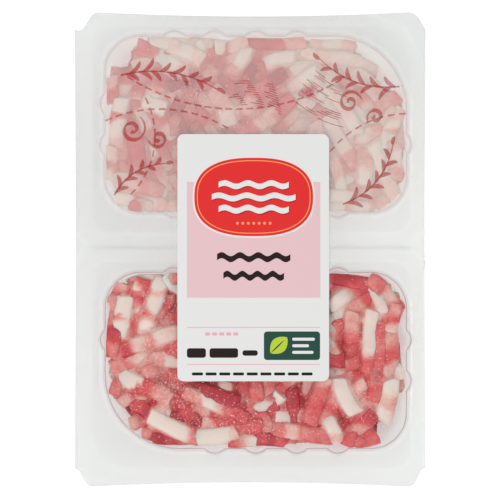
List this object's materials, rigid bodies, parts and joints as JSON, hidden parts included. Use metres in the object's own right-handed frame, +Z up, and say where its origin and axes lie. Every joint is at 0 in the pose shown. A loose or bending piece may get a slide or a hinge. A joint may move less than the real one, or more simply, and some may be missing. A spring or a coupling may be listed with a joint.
{
  "type": "pack of bacon strips",
  "caption": "Retail pack of raw bacon strips in a clear pocketed tray, sealed under flat clear film with a paper label on top.",
  "frame": {"origin": "centre of the pack's outline, at the height of the surface that its pocket floors rest on", "axes": "+Z up through the film and label, +Y towards the end of the pack that the label's head points to, +X to the right of someone who reads the label"},
  "size_m": [0.155, 0.2094, 0.0251],
  "materials": {
    "tray": "clear thermoformed sheet, glossy",
    "film": "clear lidding film, part printed in crimson, glossy",
    "label": "coated white paper with printed colour fields",
    "bacon": "raw cured pork, moist pink lean with cream fat"
  },
  "bodies": {
    "root": {"tray": "tray", "film": "film", "label": "label", "strips_upper": "bacon", "strips_lower": "bacon"}
  },
  "joints": []
}
